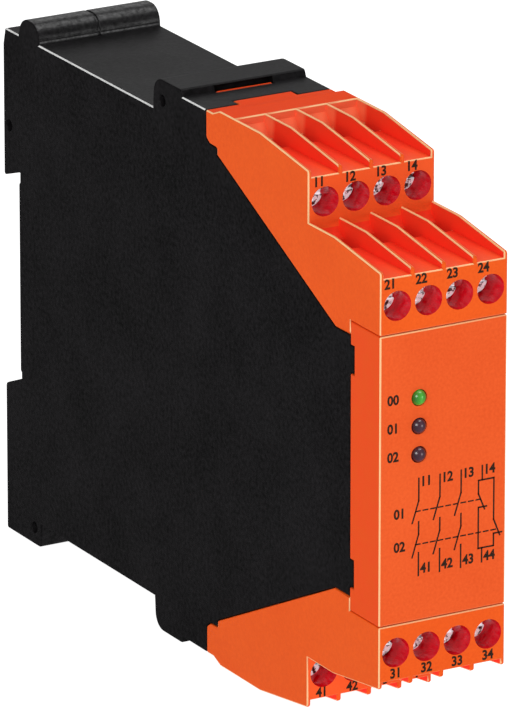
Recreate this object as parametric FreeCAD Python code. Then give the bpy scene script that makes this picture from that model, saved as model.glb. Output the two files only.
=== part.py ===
import FreeCAD, Part
import math
import os

os.makedirs("parts", exist_ok=True)
V = FreeCAD.Vector

# Safety relay for a 35 mm top-hat rail, 22.5 mm wide, lengths in millimetres.
# X runs across the width, +Y points back to the rail and +Z points up. The origin is the middle
# of the flat seat that lies against the rail. Outlines are written as (depth, height), with
# depth counted from the front face towards the rail and height from the middle of the rail.

# ---------------------------------------------------------------- overall
WIDTH = 22.5
RAIL_SEAT_DEPTH = 116.0     # front face to the seat on the rail
HOOK_REACH = 5.0            # how far the case reaches back past the rail seat
REAR_DEPTH = RAIL_SEAT_DEPTH + HOOK_REACH

# ---------------------------------------------------------------- clearances
SEAM_GAP = 0.12             # parting line between two mouldings
BOARD_GAP = 0.15            # circuit board to the wall or groove that holds it
SLIDE_GAP = 0.2             # latch and clamp cages in their guides
THREAD_GAP = 0.05           # screw shank in its clamp cage, on the radius
SEAT_GAP = 0.05             # screw head over its shoulder

# ---------------------------------------------------------------- walls
SIDE_WALL = 1.4
CASE_WALL = 1.6
COVER_WALL = 1.5

# ---------------------------------------------------------------- terminals
PITCH = 5.5                 # screw to screw across the width
POLES = 4
RIB = 0.8                   # wall between two terminals, at its foot
RIB_DRAFT = 0.05            # taper of each side of a rib, for one millimetre of height
CHANNEL = PITCH - RIB       # free width of a wire channel and of the clamp chamber below it
BORE_D = 4.8                # screwdriver bore
HEAD_RECESS = 4.4           # face to the top of the screw head
HEAD_D = 4.4
HEAD_H = 2.2
SHANK_D = 3.0               # M3
THREAD_PITCH = 0.5
SHOULDER = 1.2              # wall that carries the screw head
SHOULDER_BORE_D = 3.4
SCREW_LENGTH = 9.8          # under the head
CLAMP_TURNS = 5
CLAMP_TRAVEL = CLAMP_TURNS * THREAD_PITCH
DRIVE_SLOT = 0.85           # blade slot across the head
DRIVE_CROSS = 2.9           # span of the short arm of the cross
DRIVE_DEPTH = 1.2
HEAD_CHAMFER = 0.35
TIP_CHAMFER = 0.4

CAGE_WIDTH = CHANNEL - 2 * SLIDE_GAP
CAGE_WALL = 0.65
CAGE_NUT = 1.5              # threaded front wall
CAGE_REAR = 1.0
CAGE_HEIGHT = 6.0
CAGE_SPARE = 1.2            # clamp chamber below the cage, on the board's side
WIRE_GAP = 2.8              # open clamp, contact bar to the cage's rear wall
BAR_THICKNESS = 0.9
BAR_WIDTH = CAGE_WIDTH - 2 * CAGE_WALL - 0.2
BAR_TIP_GAP = 0.1           # screw tip to contact bar
PIN_WIDTH = 1.2
PIN_REACH = 1.0             # contact pin past the underside of its board
PIN_GAP = 0.1
WIRE_LEAD = 0.9             # wire hole in front of the contact bar
WIRE_SPARE = 0.2            # wire hole past the cage's rear wall

# ---------------------------------------------------------------- tiers of the terminal covers
PLATE_HALF = 23.5           # half height of the front plate
TIER_FRONT = {"front": 0.0, "rear": 22.0}      # depth of each tier's screw face
TIER_SCREW_Z = {"front": 28.1, "rear": 38.6}
TIER_FLOOR_Z = {"front": 32.7, "rear": 42.8}   # bottom of the wire channels
TIER_NOSE_Z = {"front": 33.7, "rear": 43.9}    # rib height at the screw face
TIER_TOP_Z = {"front": 35.6, "rear": 46.0}
TIER_BREAK = {"front": 14.0, "rear": 15.0}     # length of the sloping part of the ribs
CHANNEL_LENGTH = {"front": 22.0, "rear": 23.1}
FUNNEL_BAND = 1.3           # upright part of the rear tier's channel ends
FUNNEL_RUN = 1.5            # how far the slope below it reaches forward
CHANNEL_ROUND = 2.2         # hollow round at the front tier's channel ends
FLOOR_WALL = 1.1
STEP_DEPTH = 49.7           # rear end of the high part of the cover
STEP_RUN = 2.2
STRIP_Z = 45.1              # flat strip where cover and case meet
COVER_REAR = 54.1
TONGUE_WIDTH = 10.4
TONGUE_REACH = 2.0          # tongue behind the cover's rear edge
TONGUE_THICKNESS = 1.2
HOOK_NOSE = 0.8             # snap hook, front to back
HOOK_SUNK = 0.1             # snap hook's top below the strip
HOOK_WINDOW = 2.1           # window for the hook, front to back
HOOK_LEAD = 0.2             # front of the window to the hook
BLOCK_END = 0.9             # wall behind the clamp chambers
BLOCK_FLOOR = 0.6           # underside of the clamp blocks below the cages
TOP_WALL = 3.3              # top wall behind the upper tier's channels

# ---------------------------------------------------------------- front plate and lamps
PLATE_DEPTH = 9.0
PLATE_WALL = 1.6
TAB_FRONT = 8.0             # the case's locating tabs reach forward to here
TAB_LOW, TAB_HIGH = 15.2, 19.6
LAMP_X = -4.33
LAMP_Z = (12.7, 8.1, 3.5)
LAMP_D = 2.5
LAMP_PROUD = 0.9
LAMP_BORE_GAP = 0.1
LAMP_FLANGE = 0.35          # flange of a lamp, past its body
LAMP_LEG = 0.5              # square wire legs
LAMP_LEG_X = 0.9            # legs to the lamp's axis
LEG_HOLE = 0.7              # leg hole in the board
LEG_REACH = 0.5             # legs past the back of the board
POST_D = 3.0                # posts behind the plate that carry the display board
POST_X, POST_Z = 7.5, 19.0

# ---------------------------------------------------------------- case
CASE_FRONT = PLATE_DEPTH + SEAM_GAP
SEAM_FLAT = 4.5             # level part of the seam behind the front plate
SEAM_LOW_Z = TIER_SCREW_Z["front"] - 6.9       # seam below the front clamps
SEAM_HIGH_Z = TIER_SCREW_Z["rear"] - 0.5       # rear end of the seam's slope
SEAM_NOTCH = 0.9            # notch behind the slope, past the cover's high part
SEAM_NOTCH_RISE = 1.1
OPEN_MARGIN = 1.0           # side plates' edge past the inside of the case
STRIP_SEAT = 6.0            # case top below the cover, in front of the cover's rear edge
LIP_FRONT = COVER_REAR + 7.5
LIP_LENGTH = 9.5
LIP_REAR = LIP_FRONT + LIP_LENGTH
WINDOW_FRONT = LIP_FRONT - 0.5                 # window for the covers' snap hook
LIP_Z = STRIP_Z + 1.1
FLAT_Z = 41.0
BEAD_LENGTH = 6.9
BEAD_REAR = RAIL_SEAT_DEPTH - 0.2
BEAD_FRONT = BEAD_REAR - BEAD_LENGTH
BEAD_Z = FLAT_Z + 3.2
BEAD_ROUND = 2.7
BEAD_SPLIT = 0.3            # groove over the middle of the bead
BEAD_SPLIT_DEPTH = 0.2
RAIL_HALF = 17.5            # half of the 35 mm rail
RAIL_CLEARANCE = 0.1
HOOK_DROP = 1.7             # the fixed hook reaches this far over the rail's edge
SEAT_RELIEF = 0.35          # depth of the corner reliefs beside the seat
LOW_RELIEF = 1.4            # height of the relief at the rail's lower edge
HOOK_RELIEF = 0.2           # relief past the hook's tip, at the rail's upper edge
FOOT_REACH = 6.7            # foot in front of the seat
FOOT_FRONT = RAIL_SEAT_DEPTH - FOOT_REACH
FOOT_Z = FLAT_Z + 4.0
FOOT_OPEN = 2.2             # slope of the block below the rail
FOOT_WALL = 2.0             # floor of the case above the latch's slot
REAR_CHAMFER = (0.7, 2.8)   # upper rear corner, along the depth and the height
PIN_HOLE_D = 1.9
PIN_HOLE_DEPTH = 0.9
PIN_HOLES = (               # moulded pin marks in both sides: depth and height
    (REAR_DEPTH - 1.8, 24.8),
    (FOOT_FRONT + 2.3, -FLAT_Z - 1.1),
    (LIP_REAR - 3.1, FLAT_Z + 1.8),
)

# ---------------------------------------------------------------- rail latch
LATCH_WIDTH = 11.0
LATCH_TRAVEL = 3.0
LATCH_THICKNESS = 2.4
LATCH_BEHIND_RAIL = 1.3     # seat to the latch's front face, past the 1 mm rail flange
LATCH_GRIP = 1.2            # how far the nose stands above the rail's lower edge
LATCH_TOE = 7.0             # length of the toe that a screwdriver pulls
LATCH_TOE_HEIGHT = 2.8
LATCH_LIFT = 0.3            # toe's underside above the foot's
NOSE_FLAT = 0.8             # top of the nose, before its slope
NOSE_SLOPE = 2.0
SLOT_LENGTH, SLOT_WIDTH = 5.2, 1.5             # screwdriver slot through the toe
SLOT_WALL = 1.5
WINDOW_STEP = 2.0           # shoulder of the case beside the latch's rear window
SPRING_D = 3.4
SPRING_WIRE = 0.45
SPRING_LENGTH = 10.0        # as fitted, latch up
SPRING_COILS = 6
SPRING_SIDES = 10
WIRE_SIDES = 5
SPRING_TOP_Z = -25.0        # top edge of the latch's spring window
PEG_HEIGHT = 2.0            # case peg that carries the spring

# ---------------------------------------------------------------- inner parts
BOARD = 1.6
BOARD_OFFSET = 1.2          # main board to the left wall
TERMINAL_BOARD_Z = 17.6     # underside of the upper terminal board
TERMINAL_BOARD_FRONT = PLATE_DEPTH + 1.6
TERMINAL_BOARD_REAR = 46.0
DISPLAY_BOARD_DEPTH = PLATE_DEPTH - 2.0        # front of the board that carries the lamps
BOARD_SPACE = 1.5           # between the ends of two boards
MAIN_BOARD_FRONT = TERMINAL_BOARD_REAR + BOARD_SPACE
MAIN_BOARD_REAR = RAIL_SEAT_DEPTH - 4.0
LEDGE = 1.0                 # rails in the case that hold the boards
ROOT = 0.2                  # overlap of an added rail or post with its wall
GROOVE_LEAD = 3.0           # start of the main board's grooves behind the lip
LEDGE_HEIGHT = 1.2
GROOVE_DEPTH = 1.5
RELAY = (40.0, 15.2, 13.0)  # along the board, off the board, across the board
RELAY_DEPTH = MAIN_BOARD_FRONT + 4.5
RELAY_Z = (27.0, 11.0)
RELAY_ROUND = 0.6
TRANSFORMER = (30.0, 15.4, 26.0)
TRANSFORMER_Z = -20.0
CORE_LIFT = 1.2             # iron core above the board
BOBBIN_LENGTH = 18.0
BOBBIN_PROUD = 0.6
BOBBIN_INSET = 4.0
CAPACITOR_D, CAPACITOR_LENGTH = 12.5, 22.0
CAPACITOR_SPACE = 3.0       # behind the transformer
CAPACITOR_DEPTH = RELAY_DEPTH + TRANSFORMER[0] + CAPACITOR_SPACE + CAPACITOR_D / 2
CAPACITOR_ROUND = 0.5


def y_at(depth):
    """Y of a point this far behind the front face."""
    return depth - RAIL_SEAT_DEPTH


def box(x0, x1, d0, d1, z0, z1):
    """Box between two widths, two depths and two heights."""
    return Part.makeBox(x1 - x0, d1 - d0, z1 - z0, V(x0, y_at(d0), z0))


def rod(radius, d0, d1, x, z):
    """Round bar along the depth."""
    return Part.makeCylinder(radius, d1 - d0, V(x, y_at(d0), z), V(0, 1, 0))


def outline(points):
    """Closed face in the side plane; a third number rounds that corner."""
    corners = [V(0, y_at(p[0]), p[1]) for p in points]
    radii = [p[2] if len(p) > 2 else 0.0 for p in points]
    edges, ends = [], []
    for i, corner in enumerate(corners):
        before, after, radius = corners[i - 1], corners[(i + 1) % len(corners)], radii[i]
        if not radius:
            ends.append((corner, corner))
            continue
        to_before = (before - corner).normalize()
        to_after = (after - corner).normalize()
        half_angle = to_before.getAngle(to_after) / 2
        setback = radius / math.tan(half_angle)
        bisector = (to_before + to_after).normalize()
        middle = corner + bisector * (radius / math.sin(half_angle) - radius)
        start, end = corner + to_before * setback, corner + to_after * setback
        edges.append((i, Part.Arc(start, middle, end).toShape()))
        ends.append((start, end))
    wire_edges = []
    arcs = dict(edges)
    for i in range(len(corners)):
        if i in arcs:
            wire_edges.append(arcs[i])
        leave, arrive = ends[i][1], ends[(i + 1) % len(corners)][0]
        if (arrive - leave).Length > 1e-6:
            wire_edges.append(Part.makeLine(leave, arrive))
    return Part.Face(Part.Wire(wire_edges))


def across(face, x0, x1):
    """Extrude a side outline from one width to the other."""
    moved = face.copy()
    moved.translate(V(x0, 0, 0))
    return moved.extrude(V(x1 - x0, 0, 0))


def mirrored(shape):
    """The same shape below the middle of the rail."""
    return shape.mirror(V(0, 0, 0), V(0, 0, 1))


def pole_x(pole):
    """Middle of a terminal, counted from the left."""
    return (pole - (POLES - 1) / 2) * PITCH


def save(shape, name):
    """Write one part, checked as closed solids."""
    solids = shape.Solids
    if not solids or not shape.isValid():
        raise ValueError("bad shape: " + name)
    part = solids[0] if len(solids) == 1 else Part.makeCompound(solids)
    part.exportStep("parts/" + name + ".step")


HALF_WIDTH = WIDTH / 2
INNER_HALF = HALF_WIDTH - SIDE_WALL
MAIN_BOARD_X = -INNER_HALF + BOARD_OFFSET
MAIN_BOARD_FACE = MAIN_BOARD_X + BOARD

# Depths along one terminal, counted from its screw face.
HEAD_TOP = HEAD_RECESS
SHOULDER_FRONT = HEAD_TOP + HEAD_H + SEAT_GAP
CHAMBER_FRONT = SHOULDER_FRONT + SHOULDER
SCREW_TIP = HEAD_TOP + HEAD_H + SCREW_LENGTH
BAR_FRONT = SCREW_TIP + BAR_TIP_GAP
BAR_REAR = BAR_FRONT + BAR_THICKNESS
CAGE_NUT_REAR = BAR_FRONT - SLIDE_GAP
CAGE_NUT_FRONT = CAGE_NUT_REAR - CAGE_NUT
CAGE_INNER_REAR = BAR_REAR + WIRE_GAP
CAGE_END = CAGE_INNER_REAR + CAGE_REAR
CHAMBER_REAR = CAGE_END + SLIDE_GAP
WIRE_HOLE_FRONT = BAR_FRONT - WIRE_LEAD
WIRE_HOLE_REAR = CAGE_INNER_REAR + WIRE_SPARE


# ---------------------------------------------------------------- outlines
def seam_points():
    """Edge of the case's side plates against the upper cover, from the front to the strip."""
    notch = STEP_DEPTH + SEAM_NOTCH
    return [
        (CASE_FRONT, SEAM_LOW_Z),
        (CASE_FRONT + SEAM_FLAT, SEAM_LOW_Z),
        (notch - SEAM_NOTCH_RISE, SEAM_HIGH_Z),
        (notch, SEAM_HIGH_Z + 0.5, 0.3),
        (notch, SEAM_HIGH_Z + 0.5 + SEAM_NOTCH_RISE, 0.3),
        (COVER_REAR - 1.2, SEAM_HIGH_Z + 0.6 + SEAM_NOTCH_RISE),
        (COVER_REAR, SEAM_HIGH_Z + 1.4 + SEAM_NOTCH_RISE, 0.8),
        (COVER_REAR, STRIP_Z),
    ]


def lip_points():
    """Raised grip across the case, behind the strip."""
    return [
        (LIP_FRONT, STRIP_Z),
        (LIP_FRONT + 0.5, LIP_Z, 0.6),
        (LIP_REAR - 0.4, LIP_Z, 2.6),
        (LIP_REAR, FLAT_Z),
    ]


def bead_points(inset=0.0):
    """Round bead across the top, near the rail; with an inset, the same outline further in."""
    front, rear, top = BEAD_FRONT + inset, BEAD_REAR - inset, BEAD_Z - inset
    return [
        (front, FLAT_Z),
        (front + 0.4, top, BEAD_ROUND - inset),
        (rear - 1.0, top, BEAD_ROUND - inset),
        (rear, FLAT_Z),
    ]


def lower(points):
    """Points mirrored below the middle, in the order that closes the outline."""
    return [(p[0], -p[1]) + tuple(p[2:]) for p in reversed(points)]


POCKET = RAIL_HALF + RAIL_CLEARANCE
SEAT_TOP = POCKET - HOOK_DROP - HOOK_RELIEF
SEAT_BOTTOM = -POCKET + LOW_RELIEF


def case_outline():
    """Whole side view of the black case, with the rail recess and foot."""
    relief = RAIL_SEAT_DEPTH - SEAT_RELIEF
    rear = [
        (REAR_DEPTH - REAR_CHAMFER[0], FLAT_Z, 0.4),
        (REAR_DEPTH, FLAT_Z - REAR_CHAMFER[1], 0.5),
        (REAR_DEPTH, POCKET - HOOK_DROP, 0.4),
        (RAIL_SEAT_DEPTH, POCKET),
        (relief, POCKET),
        (relief, SEAT_TOP + SEAT_RELIEF),
        (RAIL_SEAT_DEPTH, SEAT_TOP),
        (RAIL_SEAT_DEPTH, SEAT_BOTTOM),
        (relief, SEAT_BOTTOM - SEAT_RELIEF),
        (relief, -POCKET),
        (REAR_DEPTH, -POCKET - FOOT_OPEN, 0.8),
        (REAR_DEPTH, -FOOT_Z, 0.4),
        (FOOT_FRONT, -FOOT_Z, 0.8),
        (FOOT_FRONT, -FLAT_Z),
    ]
    return seam_points() + lip_points() + bead_points() + rear + lower(lip_points()) + lower(seam_points())


def cover_outline():
    """Side view of the upper terminal cover, drawn past the seam and trimmed by the case."""
    front, rear = TIER_FRONT["front"], TIER_FRONT["rear"]
    return [
        (front, PLATE_HALF + SEAM_GAP),
        (front, TIER_NOSE_Z["front"], 0.5),
        (front + TIER_BREAK["front"], TIER_TOP_Z["front"], 4.0),
        (rear, TIER_TOP_Z["front"]),
        (rear, TIER_NOSE_Z["rear"], 0.5),
        (rear + TIER_BREAK["rear"], TIER_TOP_Z["rear"], 4.0),
        (STEP_DEPTH, TIER_TOP_Z["rear"], 0.3),
        (STEP_DEPTH + STEP_RUN, STRIP_Z),
        (COVER_REAR - SEAM_GAP, STRIP_Z),
        (COVER_REAR - SEAM_GAP, SEAM_LOW_Z),
        (PLATE_DEPTH, SEAM_LOW_Z),
        (PLATE_DEPTH, PLATE_HALF + SEAM_GAP),
    ]


def case_cavity():
    """Inside of the case, open towards the covers and the front plate."""
    top = FLAT_Z - CASE_WALL
    strip = STRIP_Z - CASE_WALL
    inner_rear = RAIL_SEAT_DEPTH - CASE_WALL
    front = CASE_FRONT - OPEN_MARGIN
    seat = COVER_REAR - STRIP_SEAT
    return [
        (front, SEAM_LOW_Z + OPEN_MARGIN),
        (seat, strip),
        (LIP_REAR - CASE_WALL, strip),
        (LIP_REAR - CASE_WALL, top),
        (REAR_DEPTH - CASE_WALL, top),
        (REAR_DEPTH - CASE_WALL, POCKET + CASE_WALL),
        (inner_rear, POCKET + CASE_WALL),
        (inner_rear, -top),
        (LIP_REAR - CASE_WALL, -top),
        (LIP_REAR - CASE_WALL, -strip),
        (seat, -strip),
        (front, -SEAM_LOW_Z - OPEN_MARGIN),
    ]


# ---------------------------------------------------------------- latch places
LATCH_FRONT = RAIL_SEAT_DEPTH + LATCH_BEHIND_RAIL
LATCH_REAR = LATCH_FRONT + LATCH_THICKNESS
LATCH_TOP = -RAIL_HALF + LATCH_GRIP
TOE_BOTTOM = -FOOT_Z + LATCH_LIFT
TOE_TOP = TOE_BOTTOM + LATCH_TOE_HEIGHT
PEG_TOP = SPRING_TOP_Z - SPRING_LENGTH
PEG_BOTTOM = PEG_TOP - PEG_HEIGHT
SPRING_DEPTH = (LATCH_FRONT + LATCH_REAR) / 2
WINDOW_HALF = SPRING_D / 2 + SLIDE_GAP


def build_case():
    """Case moulding: hollow, open to the front, with the rail recess, hook, foot and grips."""
    face = outline(case_outline())
    case = across(face, -HALF_WIDTH, HALF_WIDTH)
    case = case.cut(across(outline(case_cavity()), -INNER_HALF, INNER_HALF))
    # side tabs that locate the front plate
    for side in (-1, 1):
        for up in (-1, 1):
            low, high = sorted((up * TAB_LOW, up * TAB_HIGH))
            x0, x1 = sorted((side * HALF_WIDTH, side * INNER_HALF))
            case = case.fuse(box(x0, x1, TAB_FRONT, CASE_FRONT, low, high))
    # windows for the covers' snap hooks, and the notch that takes the covers' tongue
    half = TONGUE_WIDTH / 2
    for up in (-1, 1):
        low, high = sorted((up * (STRIP_Z - CASE_WALL - SEAM_GAP), up * (LIP_Z - 0.3)))
        case = case.cut(box(-half, half, WINDOW_FRONT, WINDOW_FRONT + HOOK_WINDOW, low, high))
        notch = half + SEAM_GAP
        low, high = sorted((up * (STRIP_Z - CASE_WALL - 1), up * (STRIP_Z + 1)))
        case = case.cut(box(-notch, notch, COVER_REAR - 1, COVER_REAR + TONGUE_REACH, low, high))
    # groove over the middle of the bead
    half = BEAD_SPLIT / 2
    groove = across(outline(bead_points()), -half, half)
    case = case.cut(groove.cut(across(outline(bead_points(BEAD_SPLIT_DEPTH)), -WIDTH, WIDTH)))
    # guide of the rail latch, open to the recess and the underside, with a window at the back
    guide = LATCH_WIDTH / 2 + SLIDE_GAP
    case = case.cut(box(-guide, guide, LATCH_FRONT - SLIDE_GAP, LATCH_REAR + SLIDE_GAP, -FOOT_Z - 1,
                        -POCKET + FOOT_WALL))
    window = guide - WINDOW_STEP
    case = case.cut(box(-window, window, LATCH_REAR, REAR_DEPTH + 1, PEG_BOTTOM - LATCH_TRAVEL,
                        SPRING_TOP_Z + FOOT_WALL))
    # tunnel for the latch's toe
    case = case.cut(box(-guide, guide, FOOT_FRONT - 1, LATCH_FRONT, -FOOT_Z - 1, TOE_TOP + SLIDE_GAP))
    # pocket for the spring's front half, and the peg that carries the spring
    case = case.cut(box(-WINDOW_HALF, WINDOW_HALF, SPRING_DEPTH - WINDOW_HALF, LATCH_FRONT, PEG_TOP,
                        SPRING_TOP_Z))
    case = case.fuse(box(-WINDOW_HALF + SLIDE_GAP, WINDOW_HALF - SLIDE_GAP, LATCH_FRONT - 0.5, LATCH_REAR,
                         PEG_BOTTOM, PEG_TOP))
    # ledges for the terminal boards and grooves for the main board
    for up in (-1, 1):
        low, high = sorted((up * (TERMINAL_BOARD_Z - LEDGE_HEIGHT), up * (TERMINAL_BOARD_Z - SEAT_GAP)))
        for side in (-1, 1):
            x0, x1 = sorted((side * (INNER_HALF + ROOT), side * (INNER_HALF - LEDGE)))
            case = case.fuse(box(x0, x1, TERMINAL_BOARD_FRONT, TERMINAL_BOARD_REAR, low, high))
        wall = FLAT_Z - CASE_WALL
        low, high = sorted((up * (wall + ROOT), up * (wall - GROOVE_DEPTH)))
        groove_left = MAIN_BOARD_X - BOARD_GAP
        groove_right = MAIN_BOARD_FACE + BOARD_GAP
        for x0, x1 in ((-INNER_HALF - ROOT, groove_left), (groove_right, groove_right + LEDGE)):
            case = case.fuse(box(x0, x1, LIP_REAR + GROOVE_LEAD, MAIN_BOARD_REAR, low, high))
    # moulded pin marks in the side walls
    for depth, height in PIN_HOLES:
        for side in (-1, 1):
            start = V(side * (HALF_WIDTH - PIN_HOLE_DEPTH), y_at(depth), height)
            case = case.cut(Part.makeCylinder(PIN_HOLE_D / 2, PIN_HOLE_DEPTH + 1, start, V(side, 0, 0)))
    return case.removeSplitter()


def channel_outline(tier):
    """Side view of a tier's wire channels, with a funnel at the rear tier's ends."""
    face, floor, top = TIER_FRONT[tier], TIER_FLOOR_Z[tier], TIER_TOP_Z[tier]
    end = face + CHANNEL_LENGTH[tier]
    if tier == "front":
        back = [(end, floor, CHANNEL_ROUND)]
    else:
        back = [(end - FUNNEL_RUN, floor), (end, top - FUNNEL_BAND)]
    return outline([(face - 1, floor)] + back + [(end, top + 1), (face - 1, top + 1)])


def between_ribs(x, low, high, d0, d1):
    """Space between two ribs, which grow thinner towards their tops."""
    foot = CHANNEL / 2
    head = foot + RIB_DRAFT * (high - low)
    section = ((-foot, low), (foot, low), (head, high), (-head, high))
    corners = [V(x + side, y_at(d0), z) for side, z in section]
    return Part.Face(Part.makePolygon(corners + corners[:1])).extrude(V(0, d1 - d0, 0))


def build_cover():
    """Upper terminal cover: two tiers of four clamps, with ribs between the wire channels."""
    grown = outline(case_outline()).makeOffset2D(SEAM_GAP)
    cover = across(outline(cover_outline()), -HALF_WIDTH, HALF_WIDTH)
    cover = cover.cut(across(grown, -HALF_WIDTH - 1, HALF_WIDTH + 1))
    # hollow under and behind the clamp blocks
    block_bottom = TIER_SCREW_Z["front"] - CAGE_HEIGHT / 2 - BLOCK_FLOOR
    step_bottom = TIER_SCREW_Z["rear"] - CAGE_HEIGHT / 2 - BLOCK_FLOOR
    front_end = TIER_FRONT["front"] + CHAMBER_REAR + BLOCK_END
    rear_end = TIER_FRONT["rear"] + CHAMBER_REAR + BLOCK_END
    below = SEAM_LOW_Z - 1
    hollow = [
        (PLATE_DEPTH + COVER_WALL, below),
        (PLATE_DEPTH + COVER_WALL, block_bottom),
        (front_end, block_bottom),
        (front_end, step_bottom),
        (rear_end, step_bottom),
        (rear_end, TIER_TOP_Z["rear"] - TOP_WALL),
        (COVER_REAR - COVER_WALL, STRIP_Z - COVER_WALL),
        (COVER_REAR - COVER_WALL, below),
    ]
    cover = cover.cut(across(outline(hollow), -INNER_HALF, INNER_HALF))
    for tier in ("front", "rear"):
        face = TIER_FRONT[tier]
        screw_z = TIER_SCREW_Z[tier]
        floor = TIER_FLOOR_Z[tier]
        channel = across(channel_outline(tier), -HALF_WIDTH, HALF_WIDTH)
        chamber_bottom = screw_z - CAGE_HEIGHT / 2 - CAGE_SPARE
        for pole in range(POLES):
            x = pole_x(pole)
            x0, x1 = x - CHANNEL / 2, x + CHANNEL / 2
            space = between_ribs(x, floor, TIER_TOP_Z[tier] + 1, face - 1, STEP_DEPTH)
            cover = cover.cut(channel.common(space))
            cover = cover.cut(rod(BORE_D / 2, face - 1, face + SHOULDER_FRONT, x, screw_z))
            cover = cover.cut(rod(SHOULDER_BORE_D / 2, face, face + CHAMBER_FRONT + 0.1, x, screw_z))
            cover = cover.cut(box(x0, x1, face + CHAMBER_FRONT, face + CHAMBER_REAR, chamber_bottom,
                                  floor - FLOOR_WALL))
            cover = cover.cut(box(x0, x1, face + WIRE_HOLE_FRONT, face + WIRE_HOLE_REAR,
                                  floor - FLOOR_WALL - 0.1, floor + 0.1))
    # tongue over the case's strip, and the arm below it that ends in the snap hook
    half = TONGUE_WIDTH / 2
    tongue_end = COVER_REAR + TONGUE_REACH - SEAM_GAP
    tongue = box(-half, half, COVER_REAR - COVER_WALL, tongue_end, STRIP_Z - TONGUE_THICKNESS, STRIP_Z)
    arm_top = STRIP_Z - CASE_WALL - SEAM_GAP
    half_arm = half - SLIDE_GAP
    hook_end = WINDOW_FRONT + HOOK_LEAD + HOOK_NOSE
    arm = box(-half_arm, half_arm, COVER_REAR - COVER_WALL, hook_end, arm_top - TONGUE_THICKNESS, arm_top)
    root = box(-half_arm, half_arm, COVER_REAR - COVER_WALL, tongue_end, arm_top - TONGUE_THICKNESS,
               STRIP_Z - TONGUE_THICKNESS / 2)
    hook = box(-half_arm, half_arm, hook_end - HOOK_NOSE, hook_end, arm_top - TONGUE_THICKNESS / 2,
               STRIP_Z - HOOK_SUNK)
    return cover.fuse([tongue, arm, root, hook]).removeSplitter()


def build_front_plate():
    """Front plate between the covers: a shallow tray with holes for the three lamps."""
    plate = box(-HALF_WIDTH, HALF_WIDTH, 0, PLATE_DEPTH, -PLATE_HALF, PLATE_HALF)
    plate = plate.cut(box(-HALF_WIDTH + COVER_WALL, HALF_WIDTH - COVER_WALL, PLATE_WALL, PLATE_DEPTH + 1,
                          -PLATE_HALF + COVER_WALL, PLATE_HALF - COVER_WALL))
    for side in (-1, 1):
        for up in (-1, 1):
            low, high = sorted((up * (TAB_LOW - SEAM_GAP), up * (TAB_HIGH + SEAM_GAP)))
            x0, x1 = sorted((side * (HALF_WIDTH + 1), side * (INNER_HALF - 1)))
            plate = plate.cut(box(x0, x1, TAB_FRONT - SEAM_GAP, PLATE_DEPTH + 1, low, high))
    for z in LAMP_Z:
        plate = plate.cut(rod(LAMP_D / 2 + LAMP_BORE_GAP, -1, PLATE_WALL + 1, LAMP_X, z))
    for x in (-POST_X, POST_X):
        for z in (-POST_Z, POST_Z):
            plate = plate.fuse(rod(POST_D / 2, PLATE_WALL - ROOT, DISPLAY_BOARD_DEPTH, x, z))
    return plate.removeSplitter()


def build_lamp(z):
    """Domed lamp: round body, flange behind the plate and two legs into the display board."""
    radius = LAMP_D / 2
    body_rear = DISPLAY_BOARD_DEPTH - 1.0
    body = rod(radius, -LAMP_PROUD + radius, body_rear, LAMP_X, z)
    dome = Part.makeSphere(radius, V(LAMP_X, y_at(-LAMP_PROUD + radius), z))
    flange_front = PLATE_WALL + LAMP_BORE_GAP
    flange = rod(radius + LAMP_FLANGE, flange_front, flange_front + 1.0, LAMP_X, z)
    half = LAMP_LEG / 2
    legs = []
    for side in (-1, 1):
        x = LAMP_X + side * LAMP_LEG_X
        legs.append(box(x - half, x + half, body_rear - ROOT, DISPLAY_BOARD_DEPTH + BOARD + LEG_REACH,
                        z - half, z + half))
    return body.fuse([dome, flange] + legs).removeSplitter()


def build_screw(x, face, z):
    """M3 clamp screw with a round head and a combined blade and cross drive."""
    head_bottom = face + HEAD_TOP + HEAD_H
    head = rod(HEAD_D / 2, face + HEAD_TOP, head_bottom, x, z)
    rim = [e for e in head.Edges if abs(e.CenterOfMass.y - y_at(face + HEAD_TOP)) < 1e-6]
    head = head.makeChamfer(HEAD_CHAMFER, rim)
    shank = rod(SHANK_D / 2, head_bottom - 0.1, face + SCREW_TIP, x, z)
    tip = [e for e in shank.Edges if abs(e.CenterOfMass.y - y_at(face + SCREW_TIP)) < 1e-6]
    shank = shank.makeChamfer(TIP_CHAMFER, tip)
    screw = head.fuse(shank)
    slot = box(x - HEAD_D, x + HEAD_D, face + HEAD_TOP - 1, face + HEAD_TOP + DRIVE_DEPTH * 0.75,
               z - DRIVE_SLOT / 2, z + DRIVE_SLOT / 2)
    cross = box(x - DRIVE_SLOT / 2, x + DRIVE_SLOT / 2, face + HEAD_TOP - 1, face + HEAD_TOP + DRIVE_DEPTH,
                z - DRIVE_CROSS / 2, z + DRIVE_CROSS / 2)
    return screw.cut(slot).cut(cross).removeSplitter()


def build_cage(x, face, z):
    """Clamp cage: a square loop that the screw draws towards its head."""
    half = CAGE_WIDTH / 2
    high = CAGE_HEIGHT / 2
    cage = box(x - half, x + half, face + CAGE_NUT_FRONT, face + CAGE_END, z - high, z + high)
    window = half - CAGE_WALL
    cage = cage.cut(box(x - window, x + window, face + CAGE_NUT_REAR, face + CAGE_INNER_REAR,
                        z - CAGE_HEIGHT, z + CAGE_HEIGHT))
    return cage.cut(rod(SHANK_D / 2 + THREAD_GAP, face, face + CAGE_NUT_REAR + 0.1, x, z))


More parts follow.
